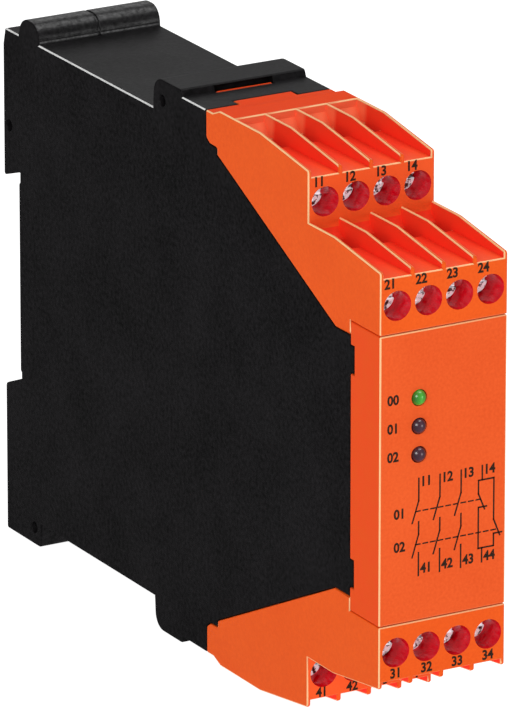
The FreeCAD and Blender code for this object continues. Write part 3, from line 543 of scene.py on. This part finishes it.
# Flat sides and rounded edges facing sideways or back take the painted shade; edges facing right
# take the painted highlight.
for face in plate.data.polygons:
    if face.material_index == EDGES and face.normal.y > -0.2:
        face.material_index = SHADED_SIDES
    elif face.material_index == EDGES and face.normal.x > 0.2:
        face.material_index = HIGHLIGHT_EDGES
    elif face.material_index == FLATS and abs(face.normal.x) > 0.9:
        face.material_index = SHADED_SIDES
smooth(plate)
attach(plate, "housing")

# ---------------------------------------------------------------- printed marks
# Black ink printed on the front faces: a plain number at each clamp and lamp, and a contact
# diagram below the lamps with four contact columns, the columns' links and plain numbers.
INK_THICKNESS = 0.02 * MM
NUMBER_HEIGHT = 1.6 * MM
DIGIT_SIZE = NUMBER_HEIGHT / 0.73           # the font's size for digits of that height
NARROW = 0.93                               # the print's digits are a little narrow
BOLD = 0.07 * MM
STROKE = 0.26 * MM
DASH_STROKE = 0.22 * MM
INK_DARK = (0.016, 0.008, 0.004)
INK_THIN = (0.04, 0.018, 0.008)
ink = Finish("printing_ink", Specular_IOR_Level=0.2)
ink.feed("Base Color", ink.blend(ink.grain(0.5 * MM), INK_DARK, INK_THIN))
ink.feed("Roughness", 0.5 + 0.2 * ink.grain(0.2 * MM))


def printed_number(text, x, z, y):
    """Digits standing on a front face, made a mesh and then put in place."""
    bpy.ops.object.select_all(action="DESELECT")
    bpy.ops.object.text_add()
    digits = bpy.context.object
    digits.data.body = text
    digits.data.size = DIGIT_SIZE
    digits.data.align_x = "CENTER"
    digits.data.align_y = "CENTER"
    digits.data.resolution_u = 3
    digits.data.offset = BOLD
    digits.data.extrude = INK_THICKNESS / 2
    bpy.ops.object.convert(target="MESH")
    digits = bpy.context.object
    digits.rotation_euler = (math.radians(90), 0, 0)
    digits.scale = (NARROW, 1, 1)
    digits.location = (x, y - INK_THICKNESS / 2, z)
    bpy.ops.object.transform_apply(location=True, rotation=True, scale=True)
    return digits


def printed_line(start, end, y, width=STROKE):
    """Straight stroke of ink between two points on a front face."""
    (x0, z0), (x1, z1) = start, end
    length = math.hypot(x1 - x0, z1 - z0) + width
    middle = ((x0 + x1) / 2, y - INK_THICKNESS / 2, (z0 + z1) / 2)
    bpy.ops.object.select_all(action="DESELECT")
    bpy.ops.mesh.primitive_cube_add(size=1.0, location=middle,
                                    rotation=(0, -math.atan2(z1 - z0, x1 - x0), 0),
                                    scale=(length, INK_THICKNESS, width))
    bpy.ops.object.transform_apply(location=True, rotation=True, scale=True)
    return bpy.context.object


def print_piece(marks, name):
    """Join the marks into one piece of ink."""
    activate(marks[0])
    for mark in marks:
        mark.select_set(True)
    bpy.ops.object.join()
    marks[0].name = name
    marks[0].data.name = name
    dress(marks[0], ink)
    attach(marks[0], "housing")


# Each row of clamps: its side and tier, its first number, and how far right of and above the
# screws' axes, in millimetres, the numbers' middles stand.
ROWS = (("upper", "rear", 11, -1.1, 3.25),
        ("upper", "front", 21, -1.3, 3.6),
        ("lower", "front", 31, 0.0, -3.45),
        ("lower", "rear", 41, -0.4, -3.25))
for side in ("upper", "lower"):
    marks = []
    for row_side, tier, first, right_by, up_by in ROWS:
        if row_side == side:
            y, z, widths = bore_axes(side)[tier]
            for n, x in enumerate(widths):
                marks.append(printed_number(str(first + n), x + right_by * MM, z + up_by * MM, y))
    print_piece(marks, "terminal_numbers_" + side)

front_y = face_y["front"]
LAMP_NUMBER = (-4.6 * MM, 0.2 * MM)         # from a lamp's axis to its number's middle
marks = [printed_number("0" + str(n), lamp_x + LAMP_NUMBER[0], z + LAMP_NUMBER[1], front_y)
         for n, z in enumerate(lamp_z)]
print_piece(marks, "lamp_numbers")

COLUMN_X = [(-4.3 + 3.77 * n) * MM for n in range(4)]
ARM = 1.13 * MM                             # how far an open contact's arm leans
STAGES = ((-0.4 * MM, -4.0 * MM, -7.5 * MM),            # lead's top, arm's root and arm's tip
          (-7.45 * MM, -9.5 * MM, -13.1 * MM))
LOWER_LEAD = (-12.5 * MM, -16.2 * MM)
LINK_Z = (-5.7 * MM, -11.1 * MM)
DASH, DASH_STEP = 0.8 * MM, 1.35 * MM       # the links are dashed lines across the columns
LINK_START = 0.55 * MM
NUMBER_ABOVE = (1.3 * MM, -1.05 * MM)       # from a column to its upper number, and its height
NUMBER_BELOW = (1.35 * MM, -15.2 * MM)
LINK_NUMBER = 3.4 * MM
marks = []
for x in COLUMN_X[:3]:
    for top, root, tip in STAGES:
        marks.append(printed_line((x, top), (x, root), front_y))
        marks.append(printed_line((x, root), (x - ARM, tip), front_y))
    marks.append(printed_line((x, LOWER_LEAD[0]), (x, LOWER_LEAD[1]), front_y))

# The fourth column is a frame with one closed contact in its left leg and one in its right.
x = COLUMN_X[3]
LOOP_LEFT, LOOP_RIGHT = x - 0.65 * MM, x + 2.1 * MM
LOOP_TOP, LOOP_BOTTOM = -2.6 * MM, -13.7 * MM
LOOP_LEADS = ((-0.3 * MM, LOOP_TOP), (LOOP_BOTTOM, -16.0 * MM))
LOOP_CONTACTS = ((LOOP_LEFT, -4.8 * MM, -7.0 * MM),     # leg, arm's root and the tick it rests on
                 (LOOP_RIGHT, -9.4 * MM, -11.7 * MM))
TICK = 1.45 * MM
CLOSED_ARM = 1.1 * MM
OVERSHOOT = 0.4 * MM                        # an arm's tip passes its tick by this
for start, end in LOOP_LEADS:
    marks.append(printed_line((x, start), (x, end), front_y))
for z in (LOOP_TOP, LOOP_BOTTOM):
    marks.append(printed_line((LOOP_LEFT, z), (LOOP_RIGHT, z), front_y))
for leg, root, rest in LOOP_CONTACTS:
    marks.append(printed_line((leg, LOOP_TOP), (leg, root), front_y))
    marks.append(printed_line((leg, root), (leg + CLOSED_ARM, rest - OVERSHOOT), front_y))
    marks.append(printed_line((leg, rest), (leg + TICK, rest), front_y))
    marks.append(printed_line((leg, rest), (leg, LOOP_BOTTOM), front_y))
for z, end in zip(LINK_Z, (LOOP_LEFT + 0.4 * MM, LOOP_RIGHT + 0.6 * MM)):
    start = COLUMN_X[0] - LINK_START
    while start < end - DASH:
        marks.append(printed_line((start, z), (start + DASH, z), front_y, DASH_STROKE))
        start += DASH_STEP
for n, x in enumerate(COLUMN_X):
    marks.append(printed_number(str(11 + n), x + NUMBER_ABOVE[0], NUMBER_ABOVE[1], front_y))
    marks.append(printed_number(str(41 + n), x + NUMBER_BELOW[0], NUMBER_BELOW[1], front_y))
for n, z in enumerate(LINK_Z, 1):
    marks.append(printed_number("0" + str(n), COLUMN_X[0] - LINK_NUMBER, z, front_y))
print_piece(marks, "contact_diagram")

# ---------------------------------------------------------------- clamp screws, cages and bars
# M3 screws in bright zinc plate, each with its head on a shoulder in its bore. It draws a cage of
# folded, zinc-plated steel forward, which clamps the wire against a tinned brass bar.
ZINC_SHADE, ZINC_BRIGHT = (0.12, 0.11, 0.12), (0.9, 0.9, 0.92)
PAINTED_GLINT = (0.85, 0.85, 0.9)
CAGE_GREY, CAGE_BRIGHT = (0.72, 0.71, 0.72), (0.86, 0.85, 0.86)
TIN_WARM, TIN_BRIGHT = (0.72, 0.68, 0.6), (0.8, 0.77, 0.7)
# Painted glints: bright noise flecks that the screws emit as light, with their base colour dark
# between them as painted shade.
zinc = Finish("bright_zinc", Metallic=1.0, Emission_Strength=0.5)
ripple = zinc.grain(0.3 * MM, 3.0)
zinc.feed("Roughness", 0.2 + 0.3 * ripple)
zinc.bump(ripple, 0.7, 0.08 * MM)
painted_glint = zinc.node("ShaderNodeValToRGB", {"stops": [(0.42, (0.0, 0.0, 0.0)), (0.53, PAINTED_GLINT)]},
                  {0: zinc.grain(0.9 * MM, 3.0, 0.6)})
zinc.feed("Base Color", zinc.blend(painted_glint, ZINC_SHADE, ZINC_BRIGHT))
zinc.feed("Emission Color", painted_glint)
cage = Finish("cage_zinc", Metallic=1.0)
cage.feed("Base Color", cage.blend(cage.grain(1.2 * MM, 3.0), CAGE_GREY, CAGE_BRIGHT))
cage.feed("Roughness", 0.32 + 0.2 * cage.grain(0.4 * MM, 3.0))
tin = Finish("tinned_brass", Metallic=1.0)
tin.feed("Base Color", tin.blend(tin.grain(1.5 * MM), TIN_WARM, TIN_BRIGHT))
tin.feed("Roughness", 0.3 + 0.2 * tin.grain(0.4 * MM, 3.0))
for start, finish in (("clamp_screw", zinc), ("clamp_cage", cage), ("contact_bars", tin)):
    for name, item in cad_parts.items():
        if name.startswith(start):
            dress(item, finish)

# ---------------------------------------------------------------- lamps
# Three 2.5 mm light-emitting diodes cast in tinted resin, pushed through the plate's bores from
# behind. The supply lamp is lit green and the other two are dark.
RESIN_RADIUS = 1.25 * MM
CORE_RADIUS = 1.1 * MM                      # the light fades out at this distance from the axis
GREEN_RIM, GREEN_MIDDLE = (0.006, 0.10, 0.008), (0.06, 0.36, 0.03)
DARK_RIM, DARK_MIDDLE = (0.022, 0.006, 0.012), (0.07, 0.024, 0.045)
LIGHT_RIM, LIGHT_MIDDLE = (0.0, 0.08, 0.0), (0.10, 0.55, 0.06)
green = Finish("green_lamp_resin", Roughness=0.24, Specular_IOR_Level=0.9, Emission_Strength=0.16)
glass = Finish("dark_lamp_resin", Roughness=0.24, Specular_IOR_Level=0.9)
for finish, rim, middle in ((green, GREEN_RIM, GREEN_MIDDLE), (glass, DARK_RIM, DARK_MIDDLE)):
    from_axis = abs(finish.axis(0) - lamp_x) * (1 / RESIN_RADIUS)
    finish.feed("Base Color", finish.blend(from_axis.clamped(), middle, rim))
core = abs(green.axis(0) - lamp_x) * (1 / CORE_RADIUS)
green.feed("Emission Color", green.blend(core.clamped(), LIGHT_MIDDLE, LIGHT_RIM))
for name, finish in (("lamp_supply", green), ("lamp_channel_1", glass), ("lamp_channel_2", glass)):
    dress(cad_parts[name], finish)

# ---------------------------------------------------------------- rail latch and its spring
# A slide moulded in the case's black polyamide, which a spring pushes up behind the rail's lower
# edge. The spring is drawn wire that the real latch shortens from 10 to 7 mm as it is pulled down;
# here it rides the housing and keeps its length.
LATCH_EDGE = 0.15 * MM
WIRE_GREY, WIRE_BRIGHT = (0.5, 0.5, 0.52), (0.66, 0.66, 0.67)
latch = copy_of("rail_latch", "rail_latch_moulding")
dress(latch, black)
round_edges(latch, LATCH_EDGE)
smooth(latch)
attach(latch, "latch")

wire = Finish("spring_wire", Metallic=1.0)
wire.feed("Base Color", wire.blend(wire.grain(0.6 * MM), WIRE_GREY, WIRE_BRIGHT))
wire.feed("Roughness", 0.25 + 0.2 * wire.grain(0.15 * MM, 3.0))
spring = copy_of("latch_spring", "latch_spring_wire")
dress(spring, wire)
activate(spring)
rounder = spring.modifiers.new("round wire", "SUBSURF")
rounder.levels = 1
rounder.render_levels = 1
bpy.ops.object.modifier_apply(modifier=rounder.name)
bpy.ops.object.shade_smooth()
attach(spring, "housing")
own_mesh(spring)

# ---------------------------------------------------------------- boards and what stands on them
# Glass fibre boards under green solder mask, with copper tracks that show through as paler lines.
# They carry sealed relays in pale grey covers, a laminated transformer and a sleeved capacitor.
BLANK, FULL = (0, 0, 0, 1), (1, 1, 1, 1)
MASK_GREEN, TRACK_GREEN = (0.012, 0.10, 0.035), (0.03, 0.22, 0.08)
RELAY_GREY, RELAY_PALE = (0.56, 0.56, 0.53), (0.64, 0.64, 0.61)
IRON_DARK, IRON_EDGE = (0.05, 0.05, 0.05), (0.16, 0.155, 0.15)
SLEEVE_BLUE, SLEEVE_STRIPE = (0.012, 0.014, 0.05), (0.55, 0.55, 0.55)
mask = Finish("solder_mask", Specular_IOR_Level=0.5)
track = mask.node("ShaderNodeTexBrick", {"offset": 0.37},
                  {"Vector": mask.place(), "Scale": 420.0, "Mortar Size": 0.03,
                   "Color1": BLANK, "Color2": BLANK, "Mortar": FULL}, output=1)
mask.feed("Base Color", mask.blend(track, MASK_GREEN, TRACK_GREEN))
mask.feed("Roughness", 0.25 + 0.15 * mask.grain(2 * MM))
for name in ("main_board", "terminal_board_upper", "terminal_board_lower", "display_board"):
    dress(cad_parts[name], mask)

relay = Finish("relay_cover", Specular_IOR_Level=0.4)
relay.feed("Base Color", relay.blend(relay.grain(6 * MM), RELAY_GREY, RELAY_PALE))
moulded_skin(relay, 0.3 * MM, 0.02 * MM, 0.35, 0.5)
for name in ("relay_1", "relay_2"):
    dress(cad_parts[name], relay)

iron = Finish("transformer_iron", Metallic=0.6)
sheets = iron.node("ShaderNodeTexWave", {"bands_direction": "X"},
                   {"Vector": iron.place(), "Scale": 320.0})
iron.feed("Base Color", iron.blend(sheets, IRON_DARK, IRON_EDGE))
iron.feed("Roughness", 0.4 + 0.2 * iron.grain(1 * MM))
dress(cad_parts["transformer"], iron)

sleeve = Finish("capacitor_sleeve", Specular_IOR_Level=0.6)
low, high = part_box("capacitor")
stripe = abs(sleeve.axis(0) - low.x).above(0.8 * (high.x - low.x))
sleeve.feed("Base Color", sleeve.blend(stripe, SLEEVE_BLUE, SLEEVE_STRIPE))
sleeve.feed("Roughness", 0.2 + 0.1 * sleeve.grain(2 * MM))
dress(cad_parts["capacitor"], sleeve)

# ---------------------------------------------------------------- floor, lights and camera
# The part stands on a white table that glows a little, under four soft lights and a pale sky. The
# camera looks down on the left side and the front through a long lens.
FLOOR_SIZE = 6.0
FLOOR_GAP = 0.05 * MM
WHITE = (1.0, 1.0, 1.0, 1.0)
TABLE_WHITE = (0.3, 0.3, 0.3, 1.0)
SKY_STRENGTH = 0.2
bpy.ops.object.select_all(action="DESELECT")
bpy.ops.mesh.primitive_plane_add(size=FLOOR_SIZE, location=(0, 0, cad_low.z - FLOOR_GAP))
table = bpy.context.object
table.name = "floor"
white = Finish("white_table", Base_Color=TABLE_WHITE, Emission_Color=WHITE, Roughness=0.9,
               Specular_IOR_Level=0.0, Emission_Strength=1.0)
dress(table, white)
table.visible_glossy = False

world = bpy.data.worlds.new("studio")
bpy.context.scene.world = world
world.use_nodes = True
world.node_tree.nodes["Background"].inputs["Color"].default_value = WHITE
world.node_tree.nodes["Background"].inputs["Strength"].default_value = SKY_STRENGTH

MIDDLE = Vector((0, -55 * MM, 0))


def soft_light(name, direction, distance, size, power):
    """Round soft light that looks at the middle of the part."""
    bpy.ops.object.light_add(type="AREA",
                             location=MIDDLE + distance * Vector(direction).normalized())
    lamp = bpy.context.object
    lamp.name = name
    lamp.data.shape = "DISK"
    lamp.data.size = size
    lamp.data.energy = power
    lamp.rotation_euler = (-Vector(direction)).to_track_quat("-Z", "Y").to_euler()


# Name, direction it comes from, distance, width and power in watts.
soft_light("key_light", (-0.66, -0.56, 0.42), 1.2, 0.6, 5.6)
soft_light("top_light", (0.3, -0.02, 0.95), 1.2, 0.9, 7.6)
soft_light("back_light", (0.38, 0.7, 0.45), 1.3, 0.8, 1.3)
soft_light("front_light", (0.5, -0.85, 0.06), 1.0, 0.4, 1.4)

AZIMUTH, ELEVATION, DISTANCE = math.radians(-29.62), math.radians(18.8), 1.5
AIM = Vector((0, -61 * MM, 0))
AIM_LEFT, AIM_UP = 1.625 * MM, 2.49 * MM
LENS, SENSOR = 482.2, 36.0                  # in millimetres
back = Vector((math.sin(AZIMUTH) * math.cos(ELEVATION), -math.cos(AZIMUTH) * math.cos(ELEVATION),
               math.sin(ELEVATION)))
right = Vector((math.cos(AZIMUTH), math.sin(AZIMUTH), 0))
up = back.cross(right)
bpy.ops.object.camera_add(location=AIM - AIM_LEFT * right + AIM_UP * up + DISTANCE * back)
camera = bpy.context.object
camera.rotation_euler = (-back).to_track_quat("-Z", "Y").to_euler()
camera.data.lens = LENS
camera.data.sensor_width = SENSOR
camera.data.clip_end = 20.0
bpy.context.scene.camera = camera
bpy.context.scene.view_settings.view_transform = "Standard"
